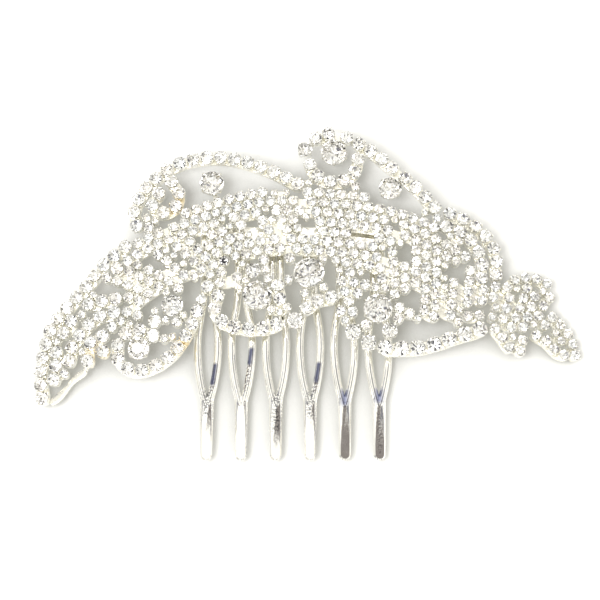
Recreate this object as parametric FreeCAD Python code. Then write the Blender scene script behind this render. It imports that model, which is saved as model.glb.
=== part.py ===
import FreeCAD, Part
import math
import os

# Rhinestone hair comb: a flat six-tooth comb with an openwork ornament soldered on its front.
# All lengths in millimetres.  The origin is on the comb's flat back, midway along its bar and
# just above the edge that the teeth leave.  +X runs along the ornament, +Y away from the teeth,
# +Z out of the stones.

Vector = FreeCAD.Vector

# ---------------------------------------------------------------- driving dimensions
# comb
TOOTH_COUNT = 6
TOOTH_PITCH = 6.8
BAR_LENGTH = 37.4
BAR_WIDTH = 5.8
BAR_BELOW = 1.6
BAR_THICKNESS = 1.4
BAR_CORNER = 1.2
BAR_EDGE = 0.35
LEG_HALF_WIDTH = 0.8
LEG_HALF_THICKNESS = 0.62
LEG_LIFT = 0.03
LEG_HALF_GAP = 0.85
LEG_STRAIGHT = 8.6
LEG_BENDS = [(31.7, 11.2), (31.7, -11.2), (41.2, -17.5)]
PRONG_TOP = -31.4
PRONG_TIP = -44.3
PRONG_TOP_WIDTH = 2.7
PRONG_TIP_WIDTH = 2.25
PRONG_THICKNESS = 1.2
PRONG_BEVEL = 0.28

# ornament surface: flat in the middle, both wings bent back round a long radius
BASE_HEIGHT = 2.6
FLAT_HALF = 19.0
WING_RADIUS = 160.0

# strips of set stones; heights are measured from the back of the ornament
FILLER_CUPS = (0.95, 0.75)
VINE_CUP = 1.13
SMALL_CUP = 1.4
LARGE_CUP = 1.6
CUP_OVERLAP = 0.02
RAIL_SHARE = 0.79
RAIL_THICKNESS = 0.7
RAIL_OVERHANG_SHARE = 0.86
RAIL_END_SHARE = 0.6
RIM_HALF_WIDTH = 0.6
LONGEST_LINK = 3.9
CUP_FOOT = 1.15
CUP_SHOULDER = 0.4
CUP_RIM = 2.3
CUP_WALL = 0.2
SEAT_EDGE = 2.1
SEAT_BOTTOM = 1.6
STONE_GAP = 0.02
STONE_GIRDLE_BAND = 0.13
STONE_TABLE_HEIGHT = 2.78
STONE_TABLE_SHARE = 0.55

# claw settings for the larger stones; shares are of the setting's outer radius
MEDIUM_RADIUS = 1.6
MEDIUM_CLAWS = 4
BASKET_FOOT_SHARE = 0.72
BASKET_RIM_SHARE = 0.93
BASKET_WALL_SHARE = 0.12
BASKET_SHOULDER = 1.5
BASKET_RIM = 2.3
BASKET_SEAT_EDGE = 1.95
BASKET_SEAT_BOTTOM = 1.1
CLAW_RADIUS = 0.34
CLAW_FOOT_SHARE = 0.80
CLAW_FOOT_HEIGHT = 0.6
CLAW_KNEE_HEIGHT = 2.1
CLAW_TIP_SHARE = 0.74
CLAW_TIP_HEIGHT = 2.95

# larger stones
CUT_SIDES = 8
CUT_GAP = 0.03
CUT_CULET = 1.2
CUT_GIRDLE_LOW = 2.05
CUT_GIRDLE_HIGH = 2.25
CUT_TABLE = 2.95
CUT_TABLE_SHARE = 0.60

# solder
PAD_RADIUS = 1.0
PAD_PLACES = (-15.0, -7.5, 0.0, 7.5, 15.0)
BRIDGE_WIDTH = 0.9
BRIDGE_THICKNESS = 0.5
BRIDGE_LIFT = 0.1
BRIDGE_BITE = 0.15
LONGEST_BRIDGE = 5.2

# how fine the curves are stepped that the cups are placed along, and what counts as touching
FINE_STEP = 0.1
EDGE_TOLERANCE = 0.01

# ---------------------------------------------------------------- layout on the flat pattern
# large stones: name, place on the pattern, outer radius of the setting, number of claws
LARGE_STONES = [
    ("arch_stone", -16.4, 12.3, 2.6, 4),
    ("crest_stone", 8.3, 19.0, 2.8, 6),
    ("shoulder_stone", 19.6, 11.2, 2.4, 4),
    ("middle_stone", 3.2, -6.7, 3.3, 6),
    ("garland_stone", -7.1, -11.5, 3.1, 6),
    ("hip_stone", 16.9, -14.2, 3.1, 6),
    ("wing_stone", -23.9, -13.6, 2.3, 4),
    ("scroll_stone", -30.4, -22.4, 2.3, 4),
]
MEDIUM_STONES = [
    (-8.0, -6.3), (0.4, -16.7), (2.4, 19.7), (19.2, -18.8), (11.9, -19.0), (15.0, -21.3),
]

# strips of set stones: name, cup radius, centre lines as the few points each curve runs through
STRIPS = [
    ("left_arch", SMALL_CUP, [
        [(1.0, 12.2), (-6.0, 15.8), (-14.5, 18.0), (-23.0, 16.7), (-29.3, 11.8), (-31.8, 6.5),
         (-31.0, 2.2)],
        [(-27.2, 14.2), (-24.0, 12.2), (-22.9, 8.8), (-25.2, 6.2), (-28.0, 7.0), (-28.2, 10.2),
         (-25.8, 9.9)],
    ]),
    ("left_leaf", SMALL_CUP, [
        [(-33.5, -1.0), (-37.8, -4.8), (-41.2, -9.3), (-44.6, -13.2), (-47.8, -17.3), (-49.3, -22.5),
         (-49.8, -27.5), (-49.2, -32.4)],
        [(-47.2, -29.4), (-46.8, -25.2), (-46.5, -21.2), (-44.4, -16.9), (-41.2, -13.2), (-37.4, -12.2),
         (-33.9, -11.8)],
        [(-44.3, -26.4), (-43.8, -22.2), (-41.6, -18.4), (-38.4, -15.6), (-34.8, -14.6)],
    ]),
    ("left_lobe", SMALL_CUP, [
        [(-40.4, -24.6), (-40.9, -21.7), (-38.2, -20.0), (-35.6, -18.2)],
        [(-37.4, -22.8), (-37.2, -22.6)],
        [(-34.6, -5.2), (-37.0, -7.4), (-38.4, -8.0)],
    ]),
    ("left_scroll", SMALL_CUP, [
        [(-34.5, -21.6), (-34.2, -24.9), (-31.4, -26.9), (-27.9, -26.4), (-24.4, -24.2), (-21.8, -21.0),
         (-20.0, -17.4), (-18.8, -14.0)],
        [(-33.0, -19.2), (-30.4, -18.5), (-27.5, -19.8), (-26.5, -22.0)],
        [(-27.3, -16.8), (-27.1, -16.8)],
    ]),
    ("crest_scroll", SMALL_CUP, [
        [(4.6, 22.2), (8.0, 23.2), (11.2, 22.2)],
        [(3.4, 16.4), (5.2, 13.8), (8.5, 12.6), (11.6, 13.8), (13.0, 16.2), (13.2, 18.4)],
    ]),
    ("right_arch", SMALL_CUP, [
        [(10.2, 21.9), (13.6, 20.8), (17.2, 18.3), (20.6, 15.2), (24.4, 11.9), (27.0, 9.0), (29.2, 6.4)],
    ]),
    ("garland", SMALL_CUP, [
        [(-17.0, -9.6), (-14.9, -11.6), (-15.6, -15.0), (-13.4, -17.2), (-9.7, -18.3), (-5.5, -18.2),
         (-2.0, -17.0)],
        [(2.6, -14.2), (5.4, -12.3), (8.0, -11.8)],
        [(-3.0, -9.4), (-2.6, -12.4)],
    ]),
    ("right_edge", SMALL_CUP, [
        [(31.5, 6.0), (35.5, 4.2), (38.8, 1.2), (40.4, -2.0), (40.6, -5.5), (40.0, -9.0)],
        [(30.8, 3.2), (33.8, 2.0), (36.4, -0.6), (37.6, -3.6), (37.6, -7.0), (36.6, -9.8)],
    ]),
    ("right_scroll", LARGE_CUP, [
        [(18.2, -22.3), (23.0, -22.5), (27.5, -21.6), (32.0, -20.0), (36.0, -18.6), (37.4, -18.0)],
    ]),
    ("right_leaves", VINE_CUP, [
        [(34.6, -15.6), (38.2, -15.3)],
        [(42.6, -9.3), (44.2, -7.6), (46.6, -7.0), (49.2, -7.3), (51.8, -8.6)],
        [(51.2, -10.9), (49.8, -12.8)],
        [(51.6, -15.0), (54.0, -17.2), (55.6, -20.0), (56.2, -23.0)],
        [(54.2, -22.9), (52.0, -21.7), (49.8, -19.6), (47.6, -18.6)],
        [(45.4, -20.2), (44.8, -22.8)],
        [(42.8, -21.9), (41.2, -19.6), (39.6, -17.5)],
    ]),
]

# smooth rim without stones along the lower flank of the left leaf
LEAF_RIM = [(-47.6, -32.4), (-45.3, -30.3), (-43.1, -27.8), (-41.4, -26.6)]

# vines: rows of stones on wavy arcs round one centre, which fill the body of the ornament
VINE_CENTRE = (2.0, -55.0)
VINE_OUTER_RADIUS = 65.6
VINE_ROW_STEP = 2.04
VINE_ROWS = 17
VINE_WAVE = 0.3
VINE_WAVES_PER_RADIAN = 14.0
VINE_WAVE_START = 3.0
VINE_FROM, VINE_TO = math.radians(156.0), math.radians(30.0)
VINE_GROUP_STARTS = (0, 2, 5, 8)
# filler stones: the finer rows along which the last gaps are filled
FILLER_ROW_STEP = 0.4
FILLER_ROWS = 84
# the edge of the body, and its openings: centre, half length, half width, turn in degrees
BODY_EDGE = [
    (-33.0, -3.5), (-30.5, 0.5), (-29.0, 3.8), (-23.5, 4.6), (-20.8, 7.0), (-17.0, 8.2), (-12.0, 9.4),
    (-6.0, 10.6), (0.0, 10.4), (5.0, 10.6), (9.0, 9.9), (12.5, 10.8), (17.0, 8.2), (21.0, 6.6),
    (25.5, 5.6), (28.0, 7.0), (31.0, 5.0), (36.0, -1.0), (37.5, -9.0), (41.0, -12.0), (40.5, -15.0),
    (36.0, -17.0), (31.0, -17.0), (26.0, -16.0), (21.0, -17.0), (16.0, -20.0), (10.0, -18.5),
    (9.2, -12.4), (4.0, -13.0), (1.0, -15.0), (-4.4, -16.6), (-8.0, -14.8), (-14.0, -11.0),
    (-16.0, -14.0), (-19.0, -13.5), (-21.0, -20.0), (-27.0, -21.0), (-35.0, -20.0), (-36.5, -13.0),
    (-40.0, -8.0),
]
OPENINGS = [
    (-25.6, 3.2, 1.0, 1.6, 0), (-28.1, -4.1, 2.1, 1.1, -50), (-37.0, -10.0, 2.5, 1.0, 0),
    (-28.2, -13.3, 2.4, 1.1, 60), (-20.6, -11.0, 3.3, 1.4, 65), (-24.4, -18.4, 1.6, 1.2, 0),
    (-18.5, 0.6, 1.0, 1.0, 0), (-7.6, 2.7, 1.5, 1.3, 0), (3.0, 3.3, 1.7, 1.2, 0),
    (14.4, 1.4, 1.8, 0.9, -10), (22.6, -2.0, 1.2, 1.6, 0), (15.3, -7.4, 1.8, 0.8, 0),
    (7.8, -7.5, 1.2, 3.3, 0), (23.8, -11.9, 1.8, 1.6, 0), (32.4, -6.4, 2.3, 1.7, 0),
    (27.0, -18.8, 4.6, 1.8, 5), (38.8, -14.2, 1.2, 0.8, -20), (13.6, -15.0, 0.9, 2.6, 0),
    (-11.6, -5.0, 1.8, 0.7, 50), (-12.4, -10.5, 1.2, 3.2, 0), (-2.6, -5.6, 1.8, 2.8, 0),
    (0.4, -11.8, 1.3, 3.2, 0), (-8.0, -15.6, 3.8, 1.2, 0), (-11.0, -13.0, 1.8, 1.8, 0),
    (16.5, -18.6, 0.9, 1.1, 0), (-30.4, 7.9, 0.4, 0.9, 0),
]
OPENING_MARGIN = 0.76
# stones also fill the left leaf, the right leaves, the curl at the left arch's end and the crest
LEAF_EDGE = [
    (-33.5, -3.0), (-37.8, -4.8), (-41.2, -9.3), (-44.6, -13.2), (-47.8, -17.3), (-49.3, -22.5),
    (-49.2, -30.5), (-44.2, -26.6), (-41.2, -24.2), (-37.6, -22.2), (-35.4, -18.0), (-33.0, -12.0),
]
LEAVES_EDGE = [
    (36.0, -8.0), (41.0, -9.0), (45.0, -7.0), (52.0, -8.4), (51.4, -12.4), (48.4, -14.0),
    (55.6, -20.0), (56.4, -23.4), (52.6, -22.4), (46.6, -17.0), (45.0, -23.0), (41.0, -19.4),
    (38.4, -17.6), (36.0, -15.0),
]
CURL_EDGE = [
    (-31.5, 4.0), (-31.8, 9.0), (-28.0, 14.6), (-24.2, 14.8), (-22.6, 10.0), (-23.0, 6.0), (-27.0, 4.0),
]
CREST_EDGE = [
    (0.0, 10.0), (0.5, 13.5), (3.0, 18.0), (5.6, 13.4), (12.0, 13.6), (13.6, 17.0), (14.6, 18.0),
    (13.4, 11.0),
]
FILLED_EDGES = (BODY_EDGE, LEAF_EDGE, LEAVES_EDGE, CURL_EDGE, CREST_EDGE)


# ---------------------------------------------------------------- the ornament's surface
def surface_point(across, along, height):
    """Point above the pattern place (across, along); past the flat middle the surface bends back."""
    side = -1.0 if across < 0.0 else 1.0
    past = abs(across) - FLAT_HALF
    if past <= 0.0:
        return Vector(across, along, BASE_HEIGHT + height)
    turn = past / WING_RADIUS
    reach = WING_RADIUS + height
    x = side * (FLAT_HALF + reach * math.sin(turn))
    return Vector(x, along, BASE_HEIGHT - WING_RADIUS + reach * math.cos(turn))


def surface_turn(across):
    """Rotation that stands a piece upright on the surface."""
    past = max(0.0, abs(across) - FLAT_HALF)
    angle = math.degrees(past / WING_RADIUS)
    return FreeCAD.Rotation(Vector(0, 1, 0), angle if across > 0.0 else -angle)


def stand_on_surface(shape, across, along):
    """Copy of a piece built at the origin, stood on the surface."""
    copy = shape.copy()
    copy.Placement = FreeCAD.Placement(surface_point(across, along, 0.0), surface_turn(across))
    return copy


# ---------------------------------------------------------------- laying out the stones
def curve_through(points):
    """Fine points along a smooth curve that runs through a few given points."""
    first = (2 * points[0][0] - points[1][0], 2 * points[0][1] - points[1][1])
    last = (2 * points[-1][0] - points[-2][0], 2 * points[-1][1] - points[-2][1])
    ends = [first] + list(points) + [last]
    fine = []
    for a, b, c, d in zip(ends, ends[1:], ends[2:], ends[3:]):
        count = max(2, int(math.dist(b, c) / FINE_STEP))
        for k in range(count):
            t = k / count
            fine.append(tuple(
                0.5 * (2 * b[i] + (c[i] - a[i]) * t + (2 * a[i] - 5 * b[i] + 4 * c[i] - d[i]) * t ** 2
                       + (3 * b[i] - a[i] - 3 * c[i] + d[i]) * t ** 3)
                for i in (0, 1)))
    fine.append(tuple(points[-1]))
    return fine


def wavy_arc(radius):
    """Fine points along one wavy arc round the vines' centre."""
    fine = []
    angle = VINE_FROM
    while angle > VINE_TO:
        reach = radius + VINE_WAVE * math.sin(angle * VINE_WAVES_PER_RADIAN + VINE_WAVE_START)
        fine.append((VINE_CENTRE[0] + reach * math.cos(angle), VINE_CENTRE[1] + reach * math.sin(angle)))
        angle -= FINE_STEP / radius
    return fine


def inside(place, edge):
    """True inside a closed edge, by counting edge crossings."""
    x, y = place
    odd = False
    for (x1, y1), (x2, y2) in zip(edge, edge[1:] + edge[:1]):
        if (y1 > y) != (y2 > y) and x < (x2 - x1) * (y - y1) / (y2 - y1) + x1:
            odd = not odd
    return odd


def in_opening(place, radius):
    """True where a cup of this radius would reach into one of the openings."""
    margin = OPENING_MARGIN * radius / SMALL_CUP
    for x, y, half_length, half_width, degrees in OPENINGS:
        turn = math.radians(degrees)
        dx, dy = place[0] - x, place[1] - y
        along = dx * math.cos(turn) + dy * math.sin(turn)
        aside = dy * math.cos(turn) - dx * math.sin(turn)
        if (along / (half_length + margin)) ** 2 + (aside / (half_width + margin)) ** 2 < 1.0:
            return True
    return False


def in_filled_part(place, radius):
    """True where a vine or filler cup of this radius may stand."""
    return any(inside(place, edge) for edge in FILLED_EDGES) and not in_opening(place, radius)


def place_cups(fine, radius, taken, free):
    """Cups along a curve, each as soon as it clears every cup already placed; split into runs."""
    runs = []
    for place in fine:
        if not (free or in_filled_part(place, radius)):
            continue
        if any(math.dist(place, other) < radius + r - CUP_OVERLAP for other, r in taken):
            continue
        taken.append((place, radius))
        if runs and math.dist(place, runs[-1][-1]) <= LONGEST_LINK:
            runs[-1].append(place)
        else:
            runs.append([place])
    return runs


def lay_out():
    """Every strip as its name and its runs, each run a cup radius and the places of its cups."""
    taken = [((x, y), radius) for _, x, y, radius, _ in LARGE_STONES]
    taken += [(place, MEDIUM_RADIUS) for place in MEDIUM_STONES]
    strips = []
    for name, radius, lines in STRIPS:
        runs = []
        for line in lines:
            runs += [(radius, run) for run in place_cups(curve_through(line), radius, taken, True)]
        strips.append((name, runs))
    groups = [[] for _ in VINE_GROUP_STARTS]
    for row in range(VINE_ROWS):
        fine = wavy_arc(VINE_OUTER_RADIUS - VINE_ROW_STEP * row)
        number = sum(1 for start in VINE_GROUP_STARTS if row >= start) - 1
        groups[number] += [(VINE_CUP, run) for run in place_cups(fine, VINE_CUP, taken, False)]
    for number, runs in enumerate(groups):
        strips.append(("vine_%d" % (number + 1), runs))
    filler = []
    for radius in FILLER_CUPS:
        for row in range(FILLER_ROWS):
            fine = wavy_arc(VINE_OUTER_RADIUS + VINE_ROW_STEP - FILLER_ROW_STEP * row)
            filler += [(radius, run) for run in place_cups(fine, radius, taken, False)]
    strips.append(("filler", filler))
    return strips


# ---------------------------------------------------------------- comb
def leg_section(place, heading):
    """Flattened round cross-section of a leg, square to its heading."""
    aside = Vector(-heading.y, heading.x, 0) * LEG_HALF_WIDTH
    ellipse = Part.Ellipse(place + aside, place + Vector(0, 0, LEG_HALF_THICKNESS), place)
    return Part.Face(Part.Wire(ellipse.toShape()))


def leg(side):
    """One leg of a tooth: straight from inside the bar, then bent out and back in by arcs."""
    place = Vector(side * LEG_HALF_GAP, 0, LEG_HALF_THICKNESS + LEG_LIFT)
    heading = Vector(0, -1, 0)
    pieces = [leg_section(place, heading).extrude(heading * LEG_STRAIGHT)]
    place = place + heading * LEG_STRAIGHT
    for radius, degrees in LEG_BENDS:
        outward = side if degrees > 0 else -side
        centre = place + Vector(-heading.y, heading.x, 0) * (outward * radius)
        section = leg_section(place, heading)
        pieces.append(section.revolve(centre, Vector(0, 0, outward), abs(degrees)))
        turn = FreeCAD.Rotation(Vector(0, 0, outward), abs(degrees))
        place = centre + turn.multVec(place - centre)
        heading = turn.multVec(heading)
    return pieces[0].multiFuse(pieces[1:])


def prong():
    """The flat solid end of a tooth, narrowing to a round tip, with bevelled top edges."""
    half, top_half = PRONG_TIP_WIDTH / 2, PRONG_TOP_WIDTH / 2
    tip = PRONG_TIP + half
    edges = [
        Part.makeLine(Vector(half, tip, 0), Vector(top_half, PRONG_TOP, 0)),
        Part.makeLine(Vector(top_half, PRONG_TOP, 0), Vector(-top_half, PRONG_TOP, 0)),
        Part.makeLine(Vector(-top_half, PRONG_TOP, 0), Vector(-half, tip, 0)),
        Part.Arc(Vector(-half, tip, 0), Vector(0, PRONG_TIP, 0), Vector(half, tip, 0)).toShape(),
    ]
    solid = Part.Face(Part.Wire(edges)).extrude(Vector(0, 0, PRONG_THICKNESS))
    top = [e for e in solid.Edges if e.BoundBox.ZMin > PRONG_THICKNESS - EDGE_TOLERANCE]
    outer = [e for e in top if e.BoundBox.YMin < PRONG_TOP - EDGE_TOLERANCE]
    return solid.makeChamfer(PRONG_BEVEL, outer)


def bar():
    """The flat bar that all teeth grow from."""
    box = Part.makeBox(BAR_LENGTH, BAR_WIDTH, BAR_THICKNESS, Vector(-BAR_LENGTH / 2, -BAR_BELOW, 0))
    corners = [e for e in box.Edges if e.BoundBox.ZLength > BAR_THICKNESS / 2]
    box = box.makeFillet(BAR_CORNER, corners)
    top = [e for e in box.Edges if e.BoundBox.ZMin > BAR_THICKNESS - EDGE_TOLERANCE]
    return box.makeFillet(BAR_EDGE, top)


def comb():
    """Bar, legs and prongs joined into one piece."""
    tooth = prong().multiFuse([leg(-1), leg(1)])
    teeth = []
    for number in range(TOOTH_COUNT):
        copy = tooth.copy()
        copy.translate(Vector((number - (TOOTH_COUNT - 1) / 2) * TOOTH_PITCH, 0, 0))
        teeth.append(copy)
    return bar().multiFuse(teeth).removeSplitter()


# ---------------------------------------------------------------- strips
def turned(profile):
    """Solid of revolution round the Z axis from (radius, height) corners."""
    corners = [Vector(r, 0, h) for r, h in profile]
    face = Part.Face(Part.makePolygon(corners + corners[:1]))
    return face.revolve(Vector(0, 0, 0), Vector(0, 0, 1), 360)


def cup(radius):
    """Small round cup with a conical seat; it stands on the rail."""
    bore = radius - CUP_WALL
    return turned([
        (0, RAIL_THICKNESS), (radius - SMALL_CUP + CUP_FOOT, RAIL_THICKNESS),
        (radius, RAIL_THICKNESS + CUP_SHOULDER), (radius, CUP_RIM), (bore, CUP_RIM), (bore, SEAT_EDGE),
        (0, SEAT_BOTTOM),
    ])


def small_stone(radius):
    """Round stone with a flat table, sitting in the cup's seat."""
    girdle = radius - CUP_WALL - STONE_GAP
    edge = SEAT_EDGE + STONE_GAP
    return turned([
        (0, SEAT_BOTTOM + STONE_GAP), (girdle, edge), (girdle, edge + STONE_GIRDLE_BAND),
        (girdle * STONE_TABLE_SHARE, STONE_TABLE_HEIGHT), (0, STONE_TABLE_HEIGHT),
    ])


def rail_run(places, half_width):
    """Backing rail along one run of places, narrowed at both ends; a round pad for a lone place."""
    if len(places) == 1:
        pad = Part.makeCylinder(half_width, RAIL_THICKNESS)
        return stand_on_surface(pad, *places[0])
    ahead = [Vector(b[0] - a[0], b[1] - a[1], 0).normalize() for a, b in zip(places, places[1:])]
    directions = [ahead[0]] + [(a + b).normalize() for a, b in zip(ahead, ahead[1:])] + [ahead[-1]]
    overhang = RAIL_OVERHANG_SHARE * half_width
    start = (places[0][0] - ahead[0].x * overhang, places[0][1] - ahead[0].y * overhang)
    end = (places[-1][0] + ahead[-1].x * overhang, places[-1][1] + ahead[-1].y * overhang)
    stations = [start] + list(places) + [end]
    directions = [ahead[0]] + directions + [ahead[-1]]
    reaches = [RAIL_END_SHARE * half_width] + [half_width] * len(places) + [RAIL_END_SHARE * half_width]
    sections = []
    for (x, y), direction, reach in zip(stations, directions, reaches):
        centre, turn = surface_point(x, y, 0.0), surface_turn(x)
        aside = turn.multVec(Vector(-direction.y, direction.x, 0)) * reach
        rise = turn.multVec(Vector(0, 0, RAIL_THICKNESS))
        corners = [centre - aside, centre + aside, centre + aside + rise, centre - aside + rise]
        sections.append(Part.makePolygon(corners + corners[:1]))
    return Part.makeLoft(sections, True, False)


# ---------------------------------------------------------------- larger stones
def claw_setting(radius, claws):
    """Tapered basket with a conical seat and claws that lean over the stone."""
    rim = BASKET_RIM_SHARE * radius
    bore = rim - BASKET_WALL_SHARE * radius
    basket = turned([
        (0, 0), (BASKET_FOOT_SHARE * radius, 0), (rim, BASKET_SHOULDER), (rim, BASKET_RIM),
        (bore, BASKET_RIM), (bore, BASKET_SEAT_EDGE), (0, BASKET_SEAT_BOTTOM),
    ])
    pieces = []
    for number in range(claws):
        angle = 2 * math.pi * (number + 0.5) / claws
        outward = Vector(math.cos(angle), math.sin(angle), 0)
        foot = outward * (CLAW_FOOT_SHARE * radius) + Vector(0, 0, CLAW_FOOT_HEIGHT)
        knee = outward * (radius - CLAW_RADIUS) + Vector(0, 0, CLAW_KNEE_HEIGHT)
        tip = outward * (CLAW_TIP_SHARE * radius) + Vector(0, 0, CLAW_TIP_HEIGHT)
        for start, end in ((foot, knee), (knee, tip)):
            pieces.append(Part.makeCylinder(CLAW_RADIUS, (end - start).Length, start, end - start))
            pieces.append(Part.makeSphere(CLAW_RADIUS, end))
    return basket.multiFuse(pieces)


def ring_of_corners(radius, height, sides):
    """Corners of a regular polygon at one height."""
    step = 2 * math.pi / sides
    return [Vector(radius * math.cos(k * step), radius * math.sin(k * step), height) for k in range(sides)]


def cut_stone(radius):
    """Faceted stone: pointed pavilion, thin girdle, crown and flat table."""
    girdle = (BASKET_RIM_SHARE - BASKET_WALL_SHARE) * radius - CUT_GAP
    low = ring_of_corners(girdle, CUT_GIRDLE_LOW, CUT_SIDES)
    high = ring_of_corners(girdle, CUT_GIRDLE_HIGH, CUT_SIDES)
    top = ring_of_corners(CUT_TABLE_SHARE * girdle, CUT_TABLE, CUT_SIDES)
    culet = Vector(0, 0, CUT_CULET)
    faces = [Part.Face(Part.makePolygon(top + top[:1]))]
    for k in range(CUT_SIDES):
        after = (k + 1) % CUT_SIDES
        faces.append(Part.Face(Part.makePolygon([culet, low[after], low[k], culet])))
        faces.append(Part.Face(Part.makePolygon([low[k], low[after], high[after], high[k], low[k]])))
        faces.append(Part.Face(Part.makePolygon([high[k], high[after], top[after], top[k], high[k]])))
    return Part.makeSolid(Part.makeShell(faces))


# ---------------------------------------------------------------- solder
def footings(strips):
    """Every separate rail run, rim and setting, as a list of (place, foot radius) per footing."""
    groups = [[(place, RAIL_SHARE * radius) for place in run] for _, runs in strips for radius, run in runs]
    groups.append([(place, RIM_HALF_WIDTH) for place in LEAF_RIM])
    groups += [[((x, y), BASKET_FOOT_SHARE * radius)] for _, x, y, radius, _ in LARGE_STONES]
    groups += [[(place, BASKET_FOOT_SHARE * MEDIUM_RADIUS)] for place in MEDIUM_STONES]
    return groups


def bridge(start, start_radius, end, end_radius):
    """Short flat bar of solder between two footings."""
    lift = BRIDGE_LIFT + BRIDGE_THICKNESS / 2
    a, b = surface_point(*start, lift), surface_point(*end, lift)
    length = (b - a).Length - start_radius - end_radius + 2 * BRIDGE_BITE
    direction = (b - a).normalize()
    begin = a + direction * (start_radius - BRIDGE_BITE)
    bar_shape = Part.makeBox(length, BRIDGE_WIDTH, BRIDGE_THICKNESS,
                             Vector(0, -BRIDGE_WIDTH / 2, -BRIDGE_THICKNESS / 2))
    normal = surface_turn((start[0] + end[0]) / 2).multVec(Vector(0, 0, 1))
    bar_shape.Placement = FreeCAD.Placement(begin, FreeCAD.Rotation(direction, Vector(), normal, "XZY"))
    return bar_shape


def solder_bridges(strips):
    """The shortest bars that join every footing into one openwork."""
    groups = footings(strips)
    pairs = []
    for i, group in enumerate(groups):
        for j in range(i + 1, len(groups)):
            gap, a, b = min(
                (math.dist(p, q) - r - s, (p, r), (q, s)) for p, r in group for q, s in groups[j])
            if gap < LONGEST_BRIDGE:
                pairs.append((gap, i, j, a, b))
    root = list(range(len(groups)))

    def find(i):
        while root[i] != i:
            i = root[i]
        return i

    bars = []
    for gap, i, j, (p, r), (q, s) in sorted(pairs):
        if find(i) != find(j):
            root[find(i)] = find(j)
            bars.append(bridge(p, r, q, s))
    return bars


def solder_pads(strips):
    """Round pads between the comb's bar and the cups that lie over it."""
    places = [place for _, runs in strips for _, run in runs for place in run]
    pads = []
    for across in PAD_PLACES:
        x, y = min(places, key=lambda p: math.dist(p, (across, 0.0)))
        height = BASE_HEIGHT - BAR_THICKNESS
        pads.append(Part.makeCylinder(PAD_RADIUS, height, Vector(x, y, BAR_THICKNESS)))
    return pads


# ---------------------------------------------------------------- nodes
def build():
    """Every node's name and shape."""
    strips = lay_out()
    nodes = {"comb": comb()}
    radii = {radius for _, runs in strips for radius, _ in runs}
    cups = {radius: cup(radius) for radius in radii}
    stones = {radius: small_stone(radius) for radius in radii}
    for name, runs in strips:
        seats = [(radius, place) for radius, run in runs for place in run]
        rails = [rail_run(run, RAIL_SHARE * radius) for radius, run in runs]
        nodes[name + "_rail"] = Part.makeCompound(rails)
        nodes[name + "_cups"] = Part.makeCompound([stand_on_surface(cups[r], *p) for r, p in seats])
        nodes[name + "_stones"] = Part.makeCompound([stand_on_surface(stones[r], *p) for r, p in seats])
    settings = []
    for name, x, y, radius, claws in LARGE_STONES:
        settings.append(stand_on_surface(claw_setting(radius, claws), x, y))
        nodes[name] = stand_on_surface(cut_stone(radius), x, y)
    nodes["large_settings"] = Part.makeCompound(settings)
    setting, stone = claw_setting(MEDIUM_RADIUS, MEDIUM_CLAWS), cut_stone(MEDIUM_RADIUS)
    nodes["medium_settings"] = Part.makeCompound([stand_on_surface(setting, *p) for p in MEDIUM_STONES])
    nodes["medium_stones"] = Part.makeCompound([stand_on_surface(stone, *p) for p in MEDIUM_STONES])
    nodes["left_leaf_rim"] = rail_run(LEAF_RIM, RIM_HALF_WIDTH)
    nodes["solder_bridges"] = Part.makeCompound(solder_bridges(strips))
    nodes["solder_pads"] = Part.makeCompound(solder_pads(strips))
    return nodes


def main():
    os.makedirs("parts", exist_ok=True)
    for name, shape in build().items():
        print(name, len(shape.Solids), "solids", shape.isValid())
        shape.exportStep("parts/%s.step" % name)


main()
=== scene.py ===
"""Looks of a rhinestone hair comb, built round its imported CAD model."""

import math
import random

import bmesh
import bpy
from mathutils import Matrix, Vector


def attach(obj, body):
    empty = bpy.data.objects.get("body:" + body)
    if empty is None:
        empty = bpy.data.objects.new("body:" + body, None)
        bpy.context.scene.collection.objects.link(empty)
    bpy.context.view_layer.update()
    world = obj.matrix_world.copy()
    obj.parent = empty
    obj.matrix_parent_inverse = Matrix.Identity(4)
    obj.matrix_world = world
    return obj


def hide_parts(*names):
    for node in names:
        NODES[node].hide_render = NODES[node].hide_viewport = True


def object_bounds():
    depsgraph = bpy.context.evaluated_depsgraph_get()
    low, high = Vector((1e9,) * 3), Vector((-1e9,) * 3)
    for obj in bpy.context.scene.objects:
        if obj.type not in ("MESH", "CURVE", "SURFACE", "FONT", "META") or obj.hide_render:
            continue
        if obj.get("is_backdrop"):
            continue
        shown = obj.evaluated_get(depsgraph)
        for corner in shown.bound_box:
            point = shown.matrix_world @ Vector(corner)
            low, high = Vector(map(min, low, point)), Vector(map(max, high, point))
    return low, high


MM = 0.001
WELD_GAP = 1e-6
TOOTH_PITCH = 6.8 * MM
TOOTH_COUNT = 6
random.seed(7)

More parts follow.
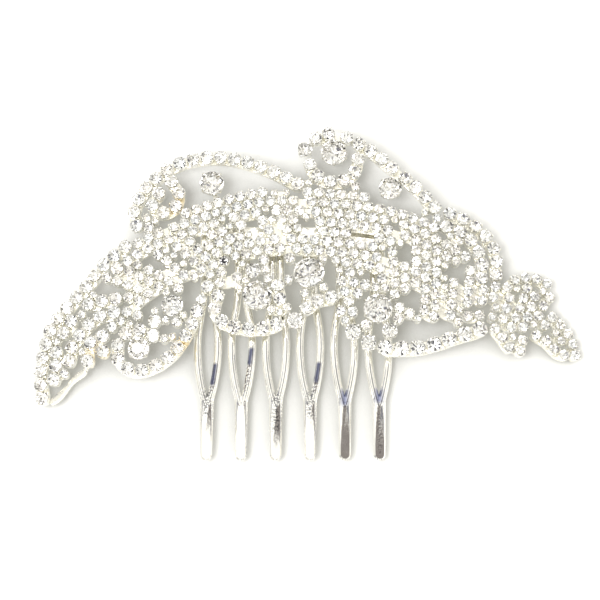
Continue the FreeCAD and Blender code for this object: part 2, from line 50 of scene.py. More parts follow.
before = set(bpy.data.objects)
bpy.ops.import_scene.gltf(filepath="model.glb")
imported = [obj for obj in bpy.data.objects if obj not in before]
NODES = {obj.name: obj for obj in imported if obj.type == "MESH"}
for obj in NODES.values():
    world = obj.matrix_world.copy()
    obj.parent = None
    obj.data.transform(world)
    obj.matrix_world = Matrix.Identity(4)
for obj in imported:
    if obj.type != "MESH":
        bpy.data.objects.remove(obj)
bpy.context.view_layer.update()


# ---------------------------------------------------------------- node helpers
class Tree:
    """Short way to build a node tree whose patterns stand in one kind of coordinate."""

    def __init__(self, tree, coordinate):
        self.tree = tree
        self.coordinate = coordinate

    def node(self, kind, **inputs):
        """New node with some of its inputs set; an underscore in an input's name is a space."""
        new = self.tree.nodes.new(kind)
        for key, value in inputs.items():
            new.inputs[key.replace("_", " ")].default_value = value
        return new

    def link(self, source, target):
        self.tree.links.new(source, target)

    def place(self):
        return self.node("ShaderNodeTexCoord").outputs[self.coordinate]

    def camera_ray(self):
        return self.node("ShaderNodeLightPath").outputs["Is Camera Ray"]

    def noise(self, scale, detail=3.0):
        new = self.node("ShaderNodeTexNoise", Scale=scale, Detail=detail)
        self.link(self.place(), new.inputs["Vector"])
        return new.outputs["Fac"]

    def ramp(self, source, stops):
        """Colour ramp through (position, colour) stops."""
        new = self.node("ShaderNodeValToRGB")
        elements = new.color_ramp.elements
        while len(elements) < len(stops):
            elements.new(0.5)
        for element, (position, colour) in zip(elements, stops):
            element.position = position
            element.color = (*colour, 1.0)
        self.link(source, new.inputs["Fac"])
        return new.outputs["Color"]

    def remap(self, source, old=(0.0, 1.0), new=(0.0, 1.0), smooth=False):
        """Takes a value from one range to another, held at the ends."""
        change = self.node(
            "ShaderNodeMapRange", From_Min=old[0], From_Max=old[1], To_Min=new[0], To_Max=new[1])
        if smooth:
            change.interpolation_type = "SMOOTHSTEP"
        self.link(source, change.inputs["Value"])
        return change.outputs["Result"]

    def maths(self, operation, first, second):
        new = self.node("ShaderNodeMath")
        new.operation = operation
        self.link(first, new.inputs[0])
        self.link(second, new.inputs[1])
        return new.outputs["Value"]

    def vector(self, operation, source, value):
        """Vector maths with a fixed second vector, or a fixed first one where there is no source."""
        new = self.node("ShaderNodeVectorMath")
        new.operation = operation
        new.inputs[1 if source else 0].default_value = value
        if source:
            self.link(source, new.inputs[0])
        return new

    def mix(self, factor, first, second):
        """Fades from a linked colour to a fixed one."""
        new = self.node("ShaderNodeMix")
        new.data_type = "RGBA"
        self.link(factor, new.inputs["Factor"])
        self.link(first, new.inputs["A"])
        new.inputs["B"].default_value = (*second, 1.0)
        return new.outputs["Result"]


class Shader(Tree):
    """A new material round its Principled BSDF."""

    def __init__(self, name):
        self.material = bpy.data.materials.new(name)
        self.material.use_nodes = True
        super().__init__(self.material.node_tree, "Object")
        self.principled = self.tree.nodes["Principled BSDF"]
        self.output = self.tree.nodes["Material Output"]

    def feed(self, source, name):
        """Links a source to one of the Principled inputs."""
        self.link(source, self.principled.inputs[name])

    def hold(self, name, value):
        """Gives one of the Principled inputs a fixed value."""
        self.principled.inputs[name].default_value = value

    def bump(self, source, strength, distance):
        new = self.node("ShaderNodeBump", Strength=strength, Distance=distance)
        self.link(source, new.inputs["Height"])
        self.feed(new.outputs["Normal"], "Normal")

    def along(self, lines, radius):
        """1 near any of the given lines, seen from above, fading to 0 at the radius."""
        total = None
        for start, end in lines:
            run = Vector((*end, 0.0)) - Vector((*start, 0.0))
            offset = self.vector("SUBTRACT", self.place(), (*start, 0.0))
            flat = self.vector("MULTIPLY", offset.outputs["Vector"], (1.0, 1.0, 0.0))
            share = self.vector("DOT_PRODUCT", flat.outputs["Vector"], run / run.length_squared)
            foot = self.vector("SCALE", None, run)
            self.link(self.remap(share.outputs["Value"]), foot.inputs["Scale"])
            gap = self.vector("DISTANCE", flat.outputs["Vector"], (0.0, 0.0, 0.0))
            self.link(foot.outputs["Vector"], gap.inputs[1])
            near = self.remap(gap.outputs["Value"], (radius, STAIN_AND_REFLECTION_CORE * radius))
            total = near if total is None else self.maths("MAXIMUM", total, near)
        return total

    def outline(self, inner, outer):
        """0 where a surface faces the view, rising to 1 between two shares towards its outline."""
        facing = self.node("ShaderNodeLayerWeight").outputs["Facing"]
        return self.remap(facing, (inner, outer))


# ---------------------------------------------------------------- materials
# noise scales, per metre
TINT_SCALE = 260.0
POLISH_SCALE = 700.0
SKIN_SCALE = 1500.0
SPECK_SCALE = 2600.0
CRYSTAL_SCALE = 330.0
FOIL_SCALE = 500.0
SKIN_DEPTH = 0.08 * MM
# noise values where a speck ends and where it is solid
SPECK_EDGE = (0.50, 0.53)
# share of a stain's or painted reflection's radius that has its full colour
STAIN_AND_REFLECTION_CORE = 0.2
CRYSTAL_IOR = 1.57
FOIL_ROUGHNESS = 0.04
# painted shade: a polished round surface goes olive between these shares of the way to its outline
OUTLINE_OLIVE = (0.34, 0.33, 0.25)
OUTLINE_START = 0.72
OUTLINE_FULL = 0.97


def plate_line(start, end, middle=0.0):
    """A line on the plate from and to (x, y) in mm, with x counted from a middle in metres."""
    return [(middle + x * MM, y * MM) for x, y in (start, end)]


def tooth_line(number, start, end):
    """A line on one of the teeth, with x counted from the tooth's own middle."""
    return plate_line(start, end, (number - (TOOTH_COUNT + 1) / 2) * TOOTH_PITCH)


# real stains (amber) and painted reflections (comb) in the plating: lines, radius, colour, whether broken
# up into specks
AMBER_STAINS = [
    ([plate_line((-38.9, -23.5), (-38.1, -23.5)),
      plate_line((-21.9, -21.5), (-21.1, -21.5)),
      plate_line((-23.9, 8.0), (-23.1, 8.0))], 3.2 * MM, (0.88, 0.79, 0.60), False),
]
# painted reflections on the comb's legs and prongs, laid into the plating's colour the way stains are
COMB_PAINTED_REFLECTIONS = [
    # painted reflection: grey specks where two legs meet
    ([tooth_line(1, (0.0, -30.8), (0.0, -34.8)),
      tooth_line(3, (0.1, -31.2), (0.1, -38.2)),
      tooth_line(4, (0.0, -30.8), (0.0, -35.0))], 1.2 * MM, (0.30, 0.30, 0.31), True),
    # painted reflection: brown specks low on the right legs
    ([tooth_line(1, (0.7, -30.0), (1.1, -28.0)),
      tooth_line(2, (0.7, -29.6), (1.5, -24.5)),
      tooth_line(4, (0.7, -30.0), (1.3, -27.8))], 0.8 * MM, (0.22, 0.20, 0.20), True),
    # painted reflection: blue-black streaks above them
    ([tooth_line(1, (1.0, -28.6), (1.5, -25.0)),
      tooth_line(2, (1.5, -24.4), (1.9, -21.8)),
      tooth_line(4, (1.2, -28.0), (1.7, -24.8))], 0.8 * MM, (0.14, 0.15, 0.23), False),
    # painted reflection: blue tint where the last two pairs of legs meet
    ([tooth_line(5, (0.0, -30.6), (0.0, -32.6)),
      tooth_line(6, (0.0, -30.4), (0.0, -32.0))], 1.3 * MM, (0.34, 0.36, 0.50), False),
    # painted reflection: pale freckles on the last prong
    ([tooth_line(6, (0.0, -33.0), (0.2, -42.5))], 0.7 * MM, (0.62, 0.61, 0.60), True),
]


def silver(name, light, dark, polish, skin, stains_and_reflections=(), outline=None):
    """Bright silver plate: two clouded tints, real stains and painted reflections, a polish between two
    roughnesses and a cast skin, with a painted olive shade towards the surface's outline where one is
    given."""
    s = Shader(name)
    tint = s.ramp(s.noise(TINT_SCALE, detail=4.0), [(0.35, dark), (0.65, light)])
    # each entry is either a real stain or a painted reflection, laid into the plate's colour
    for lines, radius, colour, specks in stains_and_reflections:
        cover = s.along(lines, radius)
        if specks:
            speck = s.remap(s.noise(SPECK_SCALE, detail=1.0), SPECK_EDGE)
            cover = s.maths("MULTIPLY", cover, speck)
        tint = s.mix(cover, tint, colour)
    # painted shade: olive towards the surface's outline
    if outline:
        tint = s.mix(s.outline(OUTLINE_START, OUTLINE_FULL), tint, outline)
    s.feed(tint, "Base Color")
    s.hold("Metallic", 1.0)
    s.feed(s.remap(s.noise(POLISH_SCALE), new=polish), "Roughness")
    s.bump(s.noise(SKIN_SCALE, detail=2.0), skin, SKIN_DEPTH)
    return s.material


def crystal(name):
    """Clear faceted crystal with a trace of colour in it."""
    s = Shader(name)
    tint = s.ramp(s.noise(CRYSTAL_SCALE, detail=0.0), [
        (0.42, (0.97, 0.985, 1.0)),
        (0.50, (1.0, 1.0, 1.0)),
        (0.60, (1.0, 0.985, 0.97)),
    ])
    s.feed(tint, "Base Color")
    s.hold("Roughness", 0.0)
    s.hold("IOR", CRYSTAL_IOR)
    s.hold("Transmission Weight", 1.0)
    return s.material


def foil(name):
    """Silver foil behind the crystal."""
    s = Shader(name)
    tint = s.ramp(s.noise(FOIL_SCALE, detail=2.0), [
        (0.4, (0.90, 0.90, 0.90)),
        (0.6, (0.97, 0.96, 0.94)),
    ])
    s.feed(tint, "Base Color")
    s.hold("Metallic", 1.0)
    s.hold("Roughness", FOIL_ROUGHNESS)
    return s.material


# the comb's plate carries the painted reflections and a painted olive shade towards its outlines
COMB_SILVER = silver(
    "comb_silver", (0.96, 0.955, 0.93), (0.92, 0.91, 0.87), (0.06, 0.14), 0.10, COMB_PAINTED_REFLECTIONS, OUTLINE_OLIVE)
RAIL_SILVER = silver(
    "rail_silver", (0.97, 0.95, 0.88), (0.91, 0.89, 0.80), (0.18, 0.34), 0.25, AMBER_STAINS)
CUP_SILVER = silver(
    "cup_silver", (0.98, 0.97, 0.94), (0.93, 0.92, 0.86), (0.12, 0.28), 0.20, AMBER_STAINS)
CLAW_SILVER = silver(
    "claw_silver", (0.96, 0.955, 0.94), (0.88, 0.87, 0.83), (0.06, 0.16), 0.12)
SOLDER = silver(
    "solder_grey", (0.86, 0.85, 0.81), (0.70, 0.69, 0.64), (0.25, 0.45), 0.6)
CRYSTAL = crystal("crystal")
FOIL = foil("crystal_foil")


# ---------------------------------------------------------------- reading the frame
# a face whose normal rises more than this is on the upper side of its solid
UPPER_SIDE = 0.3


class Seat:
    """Where one CAD solid of revolution stands: foot point, outward normal, height and radius."""

    def __init__(self, foot, normal, height, radius):
        self.foot = foot
        self.normal = normal
        self.height = height
        self.radius = radius

    def matrix(self, turn):
        """From a shape standing on the origin to this seat, turned about its own normal."""
        across = Vector((0.0, 1.0, 0.0)).cross(self.normal).normalized()
        along = self.normal.cross(across)
        basis = Matrix((across, along, self.normal)).transposed().to_4x4()
        return Matrix.Translation(self.foot) @ basis @ Matrix.Rotation(turn, 4, "Z")


def solids(mesh):
    """The vertices of each separate solid of a bmesh, solid by solid."""
    seen = set()
    for start in mesh.verts:
        if start.index in seen:
            continue
        seen.add(start.index)
        waiting = [start]
        island = []
        while waiting:
            vert = waiting.pop()
            island.append(vert)
            for edge in vert.link_edges:
                other = edge.other_vert(vert)
                if other.index not in seen:
                    seen.add(other.index)
                    waiting.append(other)
        yield island


def seat_of(island):
    """The Seat of one solid: its normal leans only left or right, as the ornament's curve does."""
    faces = {face.index: face for vert in island for face in vert.link_faces}
    normal = Vector()
    middle = Vector()
    area = 0.0
    for index in sorted(faces):
        face = faces[index]
        size = face.calc_area()
        middle += face.calc_center_median() * size
        area += size
        if face.normal.z > UPPER_SIDE:
            normal += face.normal * size
    normal.y = 0.0
    normal.normalize()
    middle /= area
    heights = [(vert.co - middle).dot(normal) for vert in island]
    low = min(heights)
    radius = max(((vert.co - middle) - normal * height).length for vert, height in zip(island, heights))
    return Seat(middle + normal * low, normal, max(heights) - low, radius)


def seats(node):
    """One Seat per separate solid of a CAD node."""
    mesh = bmesh.new()
    mesh.from_mesh(NODES[node].data)
    bmesh.ops.remove_doubles(mesh, verts=mesh.verts, dist=WELD_GAP)
    mesh.verts.index_update()
    mesh.faces.index_update()
    found = [seat_of(island) for island in solids(mesh)]
    mesh.free()
    return found


def turn_to_neighbour(seat, others):
    """Angle, in the seat's own plane, towards its nearest neighbour."""
    rest = [other for other in others if other is not seat]
    if not rest:
        return 0.0
    near = min(rest, key=lambda other: (other.foot - seat.foot).length_squared)
    local = seat.matrix(0.0).inverted() @ near.foot
    return math.atan2(local.y, local.x)


# ---------------------------------------------------------------- making pieces
def new_piece(name, node, mesh, materials):
    """Puts a bmesh into the scene as the piece seen in place of a CAD node."""
    data = bpy.data.meshes.new(name)
    mesh.to_mesh(data)
    mesh.free()
    for material in materials:
        data.materials.append(material)
    piece = bpy.data.objects.new(name, data)
    bpy.context.scene.collection.objects.link(piece)
    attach(piece, "root")
    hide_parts(node)


def close_template(mesh):
    """Turns a finished template's faces outwards and numbers its vertices for copying."""
    bmesh.ops.recalc_face_normals(mesh, faces=mesh.faces)
    mesh.verts.index_update()
    return mesh


def add_template(target, template, matrix):
    """Copies a template bmesh into the target bmesh, moved by the matrix."""
    copy = {}
    for vert in template.verts:
        copy[vert.index] = target.verts.new(matrix @ vert.co)
    for face in template.faces:
        new = target.faces.new([copy[vert.index] for vert in face.verts])
        new.material_index = face.material_index
        new.smooth = face.smooth


def ring(mesh, count, radius, height, shift=0.0):
    """Vertices round the z axis, turned by a share of their step."""
    step = 2.0 * math.pi / count
    angles = [(k + shift) * step for k in range(count)]
    return [mesh.verts.new((radius * math.cos(a), radius * math.sin(a), height)) for a in angles]


# ---------------------------------------------------------------- cut stones
# widths and the girdle's band are shares of the stone's radius, the star's height is a share of the
# crown's height and the lower ring's depth one of the pavilion's depth
GIRDLE_BAND = 0.05
BRILLIANT_TABLE = 0.54
STAR_WIDTH = 0.76
STAR_HEIGHT = 0.62
LOWER_WIDTH = 0.62
LOWER_DEPTH = 0.46
SINGLE_TABLE = 0.56


def brilliant(radius, crown, band, depth):
    """Round brilliant cut: the girdle's lower edge is at height 0, the foiled pavilion below it."""
    mesh = bmesh.new()
    table = ring(mesh, 8, BRILLIANT_TABLE * radius, band + crown)
    star = ring(mesh, 8, STAR_WIDTH * radius, band + STAR_HEIGHT * crown, 0.5)
    girdle = ring(mesh, 16, radius, band)
    edge = ring(mesh, 16, radius, 0.0)
    lower = ring(mesh, 8, LOWER_WIDTH * radius, -LOWER_DEPTH * depth, 0.5)
    culet = mesh.verts.new((0.0, 0.0, -depth))
    clear = [table]
    foiled = []
    for k in range(8):
        after = (k + 1) % 8
        left = 2 * k
        middle = left + 1
        right = (left + 2) % 16
        clear.append([table[k], star[k], table[after]])
        clear.append([table[k], star[k - 1], girdle[left], star[k]])
        clear.append([star[k], girdle[left], girdle[middle]])
        clear.append([star[k], girdle[middle], girdle[right]])
        foiled.append([culet, lower[k], edge[left], lower[k - 1]])
        foiled.append([lower[k], edge[middle], edge[left]])
        foiled.append([lower[k], edge[right], edge[middle]])
    for k in range(16):
        after = (k + 1) % 16
        clear.append([edge[k], edge[after], girdle[after], girdle[k]])
    for corners in clear:
        mesh.faces.new(corners)
    for corners in foiled:
        mesh.faces.new(corners).material_index = 1
    return close_template(mesh)


def single_cut(radius, crown, band, depth):
    """Small eight-sided cut: table, eight crown faces, girdle and eight foiled pavilion faces."""
    mesh = bmesh.new()
    table = ring(mesh, 8, SINGLE_TABLE * radius, band + crown)
    girdle = ring(mesh, 8, radius, band)
    edge = ring(mesh, 8, radius, 0.0)
    culet = mesh.verts.new((0.0, 0.0, -depth))
    mesh.faces.new(table)
    for k in range(8):
        after = (k + 1) % 8
        mesh.faces.new([table[k], table[after], girdle[after], girdle[k]])
        mesh.faces.new([girdle[k], girdle[after], edge[after], edge[k]])
        mesh.faces.new([culet, edge[k], edge[after]]).material_index = 1
    return close_template(mesh)


# cut, width over the plain stone's, rise of the girdle in mm, heights of crown and pavilion as
# shares of the radius, and how far hand setting tips a stone, in radians
LARGE_SETTING = (brilliant, 1.17, 1.08, 0.34, 0.64, 0.10)
SMALL_SETTING = (single_cut, 1.13, 0.62, 0.42, 0.78, 0.13)


def set_stones(node, setting):
    """Cut stones in place of a node's plain ones, each turned and tipped a little by hand setting."""
    cut, spread, lift, crown, depth, tilt = setting
    target = bmesh.new()
    for place in seats(node):
        radius = spread * place.radius
        template = cut(radius, crown * radius, GIRDLE_BAND * radius, depth * radius)
        tip = Matrix.Rotation(random.gauss(0.0, tilt), 4, "X")
        tip = tip @ Matrix.Rotation(random.gauss(0.0, tilt), 4, "Y")
        turned = place.matrix(random.uniform(0.0, math.tau))
        add_template(target, template, turned @ Matrix.Translation((0.0, 0.0, lift * MM)) @ tip)
        template.free()
    new_piece(node + "_cut", node, target, [CRYSTAL, FOIL])


# ---------------------------------------------------------------- cups and baskets with claws
# a claw's half width at its root and what it loses towards the tip, as shares of its width
CLAW_HALF = 0.5
CLAW_TAPER = 0.16
# the claw's cross-section: side as a share of the half width, face as a share of half the thickness
CLAW_SECTION = [(-1.0, -0.6), (-0.55, 1.0), (0.55, 1.0), (1.0, -0.6)]

CUP_SIDES = 18
CUP_CLAWS = 4
CUP_CLAW_WIDTH = 0.30
CUP_CLAW_THICKNESS = 0.14
# (radius, height) as shares of the cup's: up the outside, over the lip and down to the inner floor
CUP_PROFILE = [
    (0.02, 0.0), (0.78, 0.0), (0.90, 0.10), (0.97, 0.34), (0.975, 0.62), (0.975, 0.84), (0.96, 0.89),
    (0.94, 0.91), (0.90, 0.88), (0.885, 0.80), (0.86, 0.60), (0.55, 0.25), (0.02, 0.16),
]
# the claw's middle line from root to tip, in the same shares
CUP_CLAW = [(0.955, 0.74), (0.985, 1.02), (0.93, 1.18), (0.82, 1.27)]

BASKET_SIDES = 36
BASKET_RIM = 2.3 * MM
BASKET_CLAW_WIDTH = 0.72 * MM
BASKET_CLAW_THICKNESS = 0.42 * MM
SIX_CLAWS_FROM = 2.7 * MM
# (share of the radius, share of the rim's height)
BASKET_PROFILE = [
    (0.02, 0.0), (0.68, 0.0), (0.74, 0.06), (0.92, 0.62), (0.94, 0.74), (0.94, 0.90), (0.92, 0.94),
    (0.88, 0.94), (0.84, 0.80), (0.50, 0.16), (0.02, 0.05),
]
# from root to tip: (share of the radius, height in mm)
BASKET_CLAW = [(0.80, 0.6), (0.93, 1.5), (0.985, 2.2), (0.96, 2.7), (0.87, 3.02), (0.76, 3.16)]


def scaled(points, across, up):
    """(radius, height) points times a radius and a height."""
    return [(radius * across, height * up) for radius, height in points]


def revolve(mesh, profile, count):
    """Surface of revolution from (radius, height) points."""
    rings = [ring(mesh, count, radius, height) for radius, height in profile]
    for low, high in zip(rings, rings[1:]):
        for k in range(count):
            after = (k + 1) % count
            mesh.faces.new([low[k], low[after], high[after], high[k]]).smooth = True


def bent_claw(mesh, line, angle, width, thickness):
    """A tapered tab bent along (radius, height) points."""
    outward = Vector((math.cos(angle), math.sin(angle), 0.0))
    aside = Vector((-math.sin(angle), math.cos(angle), 0.0))
    last = len(line) - 1
    sections = []
    for number, (radius, height) in enumerate(line):
        half = width * (CLAW_HALF - CLAW_TAPER * number / last)
        before = line[max(0, number - 1)]
        after = line[min(last, number + 1)]
        run = Vector((after[0] - before[0], after[1] - before[1])).normalized()
        middle = outward * radius + Vector((0.0, 0.0, height))
        over = (outward * run.y + Vector((0.0, 0.0, -run.x))) * thickness * 0.5
        sections.append([
            mesh.verts.new(middle + aside * (side * half) + over * face) for side, face in CLAW_SECTION])
    for low, high in zip(sections, sections[1:]):
        for k in range(4):
            after = (k + 1) % 4
            mesh.faces.new([low[k], low[after], high[after], high[k]]).smooth = True
    mesh.faces.new(sections[-1]).smooth = True
    mesh.faces.new(list(reversed(sections[0]))).smooth = True


def claw_cup(radius, height):
    """Thin pressed cup with claws folded over the stone, standing on height 0."""
    mesh = bmesh.new()
    revolve(mesh, scaled(CUP_PROFILE, radius, height), CUP_SIDES)
    line = scaled(CUP_CLAW, radius, height)
    for k in range(CUP_CLAWS):
        angle = math.tau * (k + 0.5) / CUP_CLAWS
        bent_claw(mesh, line, angle, CUP_CLAW_WIDTH * radius, CUP_CLAW_THICKNESS * radius)
    return close_template(mesh)


def claw_basket(radius, claws):
    """Open tapered basket under a larger stone, with long claws bent over the stone's edge."""
    mesh = bmesh.new()
    revolve(mesh, scaled(BASKET_PROFILE, radius, BASKET_RIM), BASKET_SIDES)
    line = scaled(BASKET_CLAW, radius, MM)
    for k in range(claws):
        angle = math.tau * (k + 0.5) / claws
        bent_claw(mesh, line, angle, BASKET_CLAW_WIDTH, BASKET_CLAW_THICKNESS)
    return close_template(mesh)


def set_cups(node):
    """Claw cups in place of a node's plain cups, turned to follow their row."""
    places = seats(node)
    target = bmesh.new()
    templates = {}
    for place in places:
        size = round(place.radius / MM, 2)
        if size not in templates:
            templates[size] = claw_cup(place.radius, place.height)
        add_template(target, templates[size], place.matrix(turn_to_neighbour(place, places)))
    for template in templates.values():
        template.free()
    new_piece(node + "_clawed", node, target, [CUP_SILVER])


def set_baskets(node):
    """Claw baskets in place of a node's plain settings; the widest ones have six claws."""
    target = bmesh.new()
    for place in seats(node):
        template = claw_basket(place.radius, 6 if place.radius > SIX_CLAWS_FROM else 4)
        add_template(target, template, place.matrix(0.0))
        template.free()
    new_piece(node + "_clawed", node, target, [CLAW_SILVER])


# ---------------------------------------------------------------- rails, rim and solder
RAIL_ROUNDING = 0.10 * MM
SOLDER_ROUNDING = 0.08 * MM
ROUNDED_EDGE = math.radians(35.0)


def soften(node, material, width):
    """Shows a CAD node with rounded edges."""
    obj = NODES[node]
    obj.data.materials.clear()
    obj.data.materials.append(material)
    weld = obj.modifiers.new("weld", "WELD")
    weld.merge_threshold = WELD_GAP
    bevel = obj.modifiers.new("round", "BEVEL")
    bevel.width = width
    bevel.segments = 3
    bevel.limit_method = "ANGLE"
    bevel.angle_limit = ROUNDED_EDGE


# ---------------------------------------------------------------- the comb
COMB_WELD_GAP = 2e-6
COMB_SHARP_EDGE = math.radians(30.0)
# a prong turns about its own length: height of that axis, where along y the turn starts, the length
# over which it grows, and the full turn of each in degrees
TWIST_AXIS_HEIGHT = 0.6 * MM
TWIST_START = -8.0 * MM
TWIST_RUN = 20.0 * MM
TOOTH_TWISTS = [1.5, -1.0, 1.9, -0.5, 5.0, 5.2]


def twist_teeth(mesh):
    """Turns each tooth a few degrees round its own length, as hand straightening leaves them."""
    last = TOOTH_COUNT - 1
    for vert in mesh.verts:
        share = min(1.0, max(0.0, (TWIST_START - vert.co.y) / TWIST_RUN))
        if share == 0.0:
            continue
        number = min(last, max(0, round(vert.co.x / TOOTH_PITCH + last / 2)))
        axis = Vector(((number - last / 2) * TOOTH_PITCH, 0.0, TWIST_AXIS_HEIGHT))
        smooth = share * share * (3.0 - 2.0 * share)
        turn = Matrix.Rotation(math.radians(TOOTH_TWISTS[number] * smooth), 3, "Y")
        vert.co = axis + turn @ (vert.co - axis)


def polish_comb(node):
    """The comb with twisted teeth, and round faces shaded smooth between its sharp edges."""
    mesh = bmesh.new()
    mesh.from_mesh(NODES[node].data)
    bmesh.ops.remove_doubles(mesh, verts=mesh.verts, dist=COMB_WELD_GAP)
    twist_teeth(mesh)
    for face in mesh.faces:
        face.smooth = True
    for edge in mesh.edges:
        if len(edge.link_faces) == 2 and edge.calc_face_angle(0.0) > COMB_SHARP_EDGE:
            edge.smooth = False
    new_piece("comb_polished", node, mesh, [COMB_SILVER])


# ---------------------------------------------------------------- build the looks
for name in sorted(NODES):
    if name == "comb":
        polish_comb(name)
    elif name.endswith(("_rail", "_rim")):
        soften(name, RAIL_SILVER, RAIL_ROUNDING)
    elif name.endswith("_cups"):
        set_cups(name)
    elif name.endswith("_settings"):
        set_baskets(name)
    elif name == "medium_stones" or name.endswith("_stone"):
        set_stones(name, LARGE_SETTING)
    elif name.endswith("_stones"):
        set_stones(name, SMALL_SETTING)
    else:
        soften(name, SOLDER, SOLDER_ROUNDING)


# ---------------------------------------------------------------- surroundings
TENT_TINT = (1.0, 0.985, 0.925)
TENT_STRENGTH = 1.34
# height of the direction, brightness
TENT_RISE = [(0.0, 0.74), (0.12, 0.82), (0.35, 0.97), (1.0, 1.0)]
# clutter round the tent: noise scale, noise values where a blotch ends and where it is solid, colour
CLUTTER = [
    (3.2, (0.48, 0.46), (0.66, 0.65, 0.61)),
    (4.6, (0.39, 0.375), (0.13, 0.13, 0.16)),
]
# direction, inner and outer radius in degrees, colour
TENT_PATCHES = [
    ((0.0, 0.33, 0.944), 12.0, 16.0, (1.0, 0.985, 0.93)),
    ((0.0, -0.309, 0.951), 7.0, 10.0, (0.04, 0.04, 0.05)),
    ((0.195, 0.254, 0.948), 5.2, 6.6, (0.19, 0.17, 0.16)),
    ((-0.576, 0.453, 0.681), 5.0, 9.0, (0.05, 0.055, 0.12)),
    ((-0.75, -0.2, 0.6), 10.0, 18.0, (2.0, 1.97, 1.85)),
]


def tent():
    """White tent seen by the polished faces: darker near the floor, with clutter and patches round it.
    The camera itself sees it plain."""
    world = bpy.data.worlds.new("tent")
    bpy.context.scene.world = world
    world.use_nodes = True
    t = Tree(world.node_tree, "Generated")
    split = t.node("ShaderNodeSeparateXYZ")
    t.link(t.place(), split.inputs["Vector"])
    rise = [(height, [level * part for part in TENT_TINT]) for height, level in TENT_RISE]
    colour = t.ramp(split.outputs["Z"], rise)
    for scale, blotch, tint in CLUTTER:
        colour = t.mix(t.remap(t.noise(scale, detail=1.0), blotch), colour, tint)
    for direction, inner, outer, tint in TENT_PATCHES:
        dot = t.vector("DOT_PRODUCT", t.place(), Vector(direction).normalized())
        patch = (math.cos(math.radians(outer)), math.cos(math.radians(inner)))
        colour = t.mix(t.remap(dot.outputs["Value"], patch, smooth=True), colour, tint)
    colour = t.mix(t.camera_ray(), colour, TENT_TINT)
    background = t.tree.nodes["Background"]
    t.link(colour, background.inputs["Color"])
    background.inputs["Strength"].default_value = TENT_STRENGTH


# ---------------------------------------------------------------- floor
FLOOR_SIZE = 3.0
FLOOR_GAP = 0.0001
FLOOR_SCALE = 3.0
FLOOR_TINTS = [(0.3, (0.90, 0.90, 0.89)), (0.7, (0.93, 0.93, 0.925))]
# how sheltered a place is comes from how much sky it sees within a reach, over a range of shares
SHELTER_REACH = 0.009
SHELTER_RANGE = (0.25, 0.74)
SHELTER_SAMPLES = 8
# painted shade: the share of the floor's brightness that the camera sees in full shelter and in the open;
# and a painted glow standing in for the light that the ornament throws back into the sheltered places
PAINTED_SHADE_SHARES = (0.28, 0.98)
PAINTED_SHELTER_GLOW = 0.48
GLOW_COLOUR = (1.0, 0.98, 0.84, 1.0)


def floor_material():
    """Pale card with painted shade in sheltered places for the camera only and a painted glow there, clear
    from below.
    """
    s = Shader("floor_white")
    tint = s.ramp(s.noise(FLOOR_SCALE, detail=2.0), FLOOR_TINTS)
    shelter = s.node("ShaderNodeAmbientOcclusion", Distance=SHELTER_REACH)
    shelter.samples = SHELTER_SAMPLES
    # painted shade: the camera sees the floor darker where it is sheltered
    seen = s.remap(shelter.outputs["AO"], SHELTER_RANGE, PAINTED_SHADE_SHARES)
    gain = s.node("ShaderNodeMapRange", To_Min=1.0)
    s.link(seen, gain.inputs["To Max"])
    s.link(s.camera_ray(), gain.inputs["Value"])
    shaded = s.node("ShaderNodeVectorMath")
    shaded.operation = "SCALE"
    s.link(tint, shaded.inputs[0])
    s.link(gain.outputs["Result"], shaded.inputs["Scale"])
    s.feed(shaded.outputs["Vector"], "Base Color")
    s.hold("Roughness", 0.9)
    s.hold("Specular IOR Level", 0.1)
    # painted glow: the floor gives off light in sheltered places, though it is no lamp
    s.hold("Emission Color", GLOW_COLOUR)
    s.feed(s.remap(shelter.outputs["AO"], new=(PAINTED_SHELTER_GLOW, 0.0)), "Emission Strength")
    mix = s.node("ShaderNodeMixShader")
    s.link(s.node("ShaderNodeNewGeometry").outputs["Backfacing"], mix.inputs["Fac"])
    s.link(s.principled.outputs["BSDF"], mix.inputs[1])
    s.link(s.node("ShaderNodeBsdfTransparent").outputs["BSDF"], mix.inputs[2])
    s.link(mix.outputs["Shader"], s.output.inputs["Surface"])
    return s.material


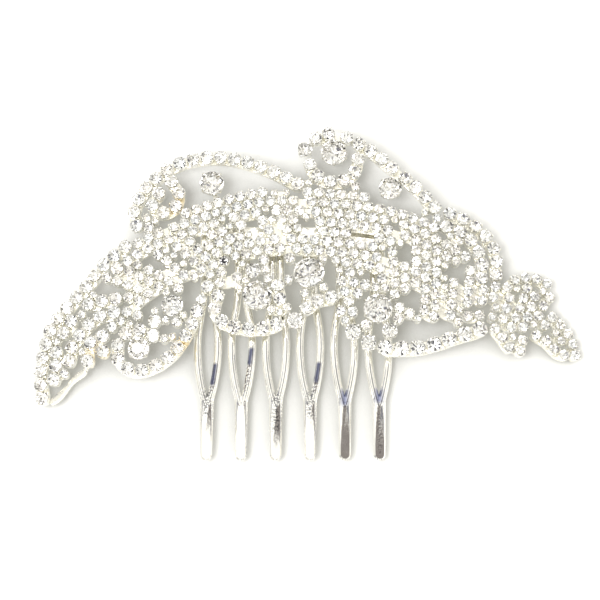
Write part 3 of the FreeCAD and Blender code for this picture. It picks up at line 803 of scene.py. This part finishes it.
def white_floor(height):
    """Large pale floor, seen only from above."""
    bpy.ops.mesh.primitive_plane_add(size=FLOOR_SIZE, location=(0.0, 0.0, height))
    plane = bpy.context.object
    plane.name = "floor"
    plane.data.materials.append(floor_material())
    plane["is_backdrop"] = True


# ---------------------------------------------------------------- key light and camera
# azimuth counts from the side of the teeth, towards the right; angles in degrees, lengths in metres
KEY_AZIMUTH = -40.0
KEY_ELEVATION = 66.0
KEY_DISTANCE = 0.7
KEY_SIZE = 0.25
KEY_POWER = 2.5

CAMERA_ELEVATION = 72.0
CAMERA_DISTANCE = 0.45
CAMERA_TARGET = Vector((0.0014, -0.0116, 0.002))
LENS_MM = 135.0
SENSOR_MM = 36.0
NEAREST_SEEN = 0.01


def towards(azimuth, elevation):
    """Unit vector towards an azimuth and elevation in degrees."""
    a = math.radians(azimuth)
    e = math.radians(elevation)
    return Vector((math.sin(a) * math.cos(e), -math.cos(a) * math.cos(e), math.sin(e)))


def aim(name, data, place, target):
    """Puts a light or camera into the scene at a place, pointing at the target."""
    obj = bpy.data.objects.new(name, data)
    obj.location = place
    obj.rotation_euler = (target - place).to_track_quat("-Z", "Y").to_euler()
    bpy.context.scene.collection.objects.link(obj)
    return obj


def key_light():
    """One square soft light."""
    data = bpy.data.lights.new("key", "AREA")
    data.shape = "SQUARE"
    data.size = KEY_SIZE
    data.energy = KEY_POWER
    aim("key", data, towards(KEY_AZIMUTH, KEY_ELEVATION) * KEY_DISTANCE, Vector())


def camera():
    """Stands on the side of the teeth and looks steeply down."""
    data = bpy.data.cameras.new("camera")
    data.lens = LENS_MM
    data.sensor_width = SENSOR_MM
    data.clip_start = NEAREST_SEEN
    place = CAMERA_TARGET + towards(0.0, CAMERA_ELEVATION) * CAMERA_DISTANCE
    bpy.context.scene.camera = aim("camera", data, place, CAMERA_TARGET)


white_floor(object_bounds()[0].z - FLOOR_GAP)
tent()
key_light()
camera()

scene = bpy.context.scene
scene.view_settings.view_transform = "Standard"
scene.view_settings.look = "None"
scene.view_settings.exposure = 0.0
scene.cycles.caustics_reflective = False
scene.cycles.caustics_refractive = False
scene.cycles.sample_clamp_indirect = 6.0
scene.cycles.max_bounces = 14
scene.cycles.transmission_bounces = 12
scene.cycles.glossy_bounces = 8
